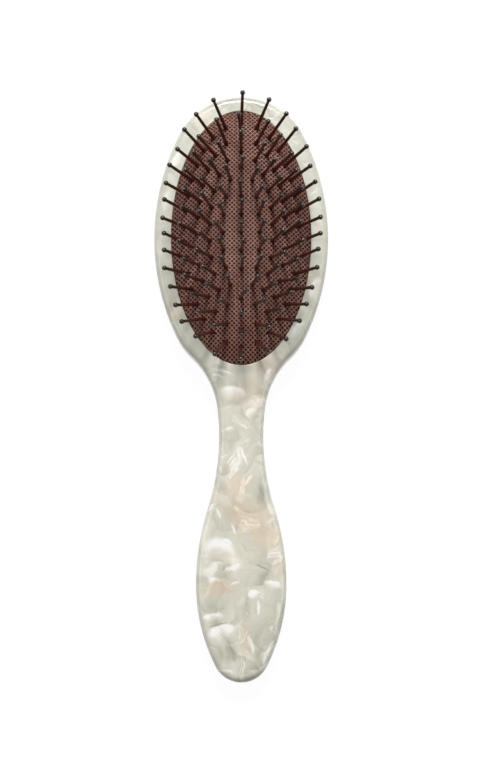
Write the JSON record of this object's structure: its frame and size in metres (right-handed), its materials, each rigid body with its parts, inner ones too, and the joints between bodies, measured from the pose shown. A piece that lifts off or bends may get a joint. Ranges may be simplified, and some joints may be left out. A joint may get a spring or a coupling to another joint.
{
  "type": "detangling brush",
  "caption": "Oval cushion hairbrush: pearl acetate paddle, domed rubber cushion faced with woven mesh, and fanned rings of ball-tipped nylon pins that lean and sink to ease out knots.",
  "frame": {"origin": "flat back of the paddle, under the middle of the cushion", "axes": "+X across the head, +Y from the handle to the top of the head, +Z out of the pin side"},
  "size_m": [0.0656, 0.22, 0.0375],
  "materials": {
    "pearl_acetate": "polished pearl",
    "cushion_rubber": "matt",
    "woven_mesh": "woven",
    "pin_nylon": "gloss"
  },
  "bodies": {
    "paddle": {"paddle_body": "pearl_acetate"},
    "cushion": {"cushion_pad": "cushion_rubber", "mesh_facing": "woven_mesh"},
    "outer_pins_top": {"outer_pins_top": "pin_nylon"},
    "outer_pins_right": {"outer_pins_right": "pin_nylon"},
    "outer_pins_bottom": {"outer_pins_bottom": "pin_nylon"},
    "outer_pins_left": {"outer_pins_left": "pin_nylon"},
    "second_pins_top": {"second_pins_top": "pin_nylon"},
    "second_pins_right": {"second_pins_right": "pin_nylon"},
    "second_pins_bottom": {"second_pins_bottom": "pin_nylon"},
    "second_pins_left": {"second_pins_left": "pin_nylon"},
    "third_pins_top": {"third_pins_top": "pin_nylon"},
    "third_pins_right": {"third_pins_right": "pin_nylon"},
    "third_pins_bottom": {"third_pins_bottom": "pin_nylon"},
    "third_pins_left": {"third_pins_left": "pin_nylon"},
    "inner_pins_top": {"inner_pins_top": "pin_nylon"},
    "inner_pins_right": {"inner_pins_right": "pin_nylon"},
    "inner_pins_bottom": {"inner_pins_bottom": "pin_nylon"},
    "inner_pins_left": {"inner_pins_left": "pin_nylon"},
    "centre_pins": {"centre_pins": "pin_nylon"}
  },
  "joints": [
    {"name": "cushion_press", "type": "slide", "parent": "paddle", "child": "cushion", "axis": [0, 0, -1], "range_m": [0, 0.003], "stiffness_N_per_m": 3000, "deforming": ["cushion_pad", "mesh_facing"]},
    {"name": "lean_outer_top", "type": "hinge", "parent": "cushion", "child": "outer_pins_top", "pos_m": [0, 0.03734, 0.01538], "axis": [-1, 0, 0], "range_deg": [-8, 8], "stiffness_Nm_per_rad": 0.05},
    {"name": "lean_outer_right", "type": "hinge", "parent": "cushion", "child": "outer_pins_right", "pos_m": [0.01924, 0, 0.01502], "axis": [0, 1, 0], "range_deg": [-8, 8], "stiffness_Nm_per_rad": 0.05},
    {"name": "lean_outer_bottom", "type": "hinge", "parent": "cushion", "child": "outer_pins_bottom", "pos_m": [0, -0.03734, 0.01538], "axis": [1, 0, 0], "range_deg": [-8, 8], "stiffness_Nm_per_rad": 0.05},
    {"name": "lean_outer_left", "type": "hinge", "parent": "cushion", "child": "outer_pins_left", "pos_m": [-0.01924, 0, 0.01502], "axis": [0, -1, 0], "range_deg": [-8, 8], "stiffness_Nm_per_rad": 0.05},
    {"name": "lean_second_top", "type": "hinge", "parent": "cushion", "child": "second_pins_top", "pos_m": [0, 0.03285, 0.0176], "axis": [-1, 0, 0], "range_deg": [-8, 8]},
    {"name": "lean_second_right", "type": "hinge", "parent": "cushion", "child": "second_pins_right", "pos_m": [0.01465, 0, 0.01714], "axis": [0, 1, 0], "range_deg": [-8, 8]},
    {"name": "lean_second_bottom", "type": "hinge", "parent": "cushion", "child": "second_pins_bottom", "pos_m": [0, -0.03285, 0.0176], "axis": [1, 0, 0], "range_deg": [-8, 8]},
    {"name": "lean_second_left", "type": "hinge", "parent": "cushion", "child": "second_pins_left", "pos_m": [-0.01465, 0, 0.01714], "axis": [0, -1, 0], "range_deg": [-8, 8]},
    {"name": "lean_third_top", "type": "hinge", "parent": "cushion", "child": "third_pins_top", "pos_m": [0, 0.02584, 0.01886], "axis": [-1, 0, 0], "range_deg": [-8, 8]},
    {"name": "lean_third_right", "type": "hinge", "parent": "cushion", "child": "third_pins_right", "pos_m": [0.01075, 0, 0.01856], "axis": [0, 1, 0], "range_deg": [-8, 8]},
    {"name": "lean_third_bottom", "type": "hinge", "parent": "cushion", "child": "third_pins_bottom", "pos_m": [0, -0.02584, 0.01886], "axis": [1, 0, 0], "range_deg": [-8, 8]},
    {"name": "lean_third_left", "type": "hinge", "parent": "cushion", "child": "third_pins_left", "pos_m": [-0.01075, 0, 0.01856], "axis": [0, -1, 0], "range_deg": [-8, 8]},
    {"name": "lean_inner_top", "type": "hinge", "parent": "cushion", "child": "inner_pins_top", "pos_m": [0, 0.02158, 0.01944], "axis": [-1, 0, 0], "range_deg": [-8, 8]},
    {"name": "lean_inner_right", "type": "hinge", "parent": "cushion", "child": "inner_pins_right", "pos_m": [0.00618, 0, 0.01934], "axis": [0, 1, 0], "range_deg": [-8, 8]},
    {"name": "lean_inner_bottom", "type": "hinge", "parent": "cushion", "child": "inner_pins_bottom", "pos_m": [0, -0.02158, 0.01944], "axis": [1, 0, 0], "range_deg": [-8, 8]},
    {"name": "lean_inner_left", "type": "hinge", "parent": "cushion", "child": "inner_pins_left", "pos_m": [-0.00618, 0, 0.01934], "axis": [0, -1, 0], "range_deg": [-8, 8]},
    {"name": "lean_centre", "type": "hinge", "parent": "cushion", "child": "centre_pins", "pos_m": [0, 0, 0.0195], "axis": [0, 1, 0], "range_deg": [-8, 8], "stiffness_Nm_per_rad": 0.05}
  ],
  "couplings": [
    {"joint": "lean_second_top", "follows": "lean_outer_top", "ratio": 1},
    {"joint": "lean_second_right", "follows": "lean_outer_right", "ratio": 1},
    {"joint": "lean_second_bottom", "follows": "lean_outer_bottom", "ratio": 1},
    {"joint": "lean_second_left", "follows": "lean_outer_left", "ratio": 1},
    {"joint": "lean_third_top", "follows": "lean_outer_top", "ratio": 1},
    {"joint": "lean_third_right", "follows": "lean_outer_right", "ratio": 1},
    {"joint": "lean_third_bottom", "follows": "lean_outer_bottom", "ratio": 1},
    {"joint": "lean_third_left", "follows": "lean_outer_left", "ratio": 1},
    {"joint": "lean_inner_top", "follows": "lean_outer_top", "ratio": 1},
    {"joint": "lean_inner_right", "follows": "lean_outer_right", "ratio": 1},
    {"joint": "lean_inner_bottom", "follows": "lean_outer_bottom", "ratio": 1},
    {"joint": "lean_inner_left", "follows": "lean_outer_left", "ratio": 1}
  ]
}
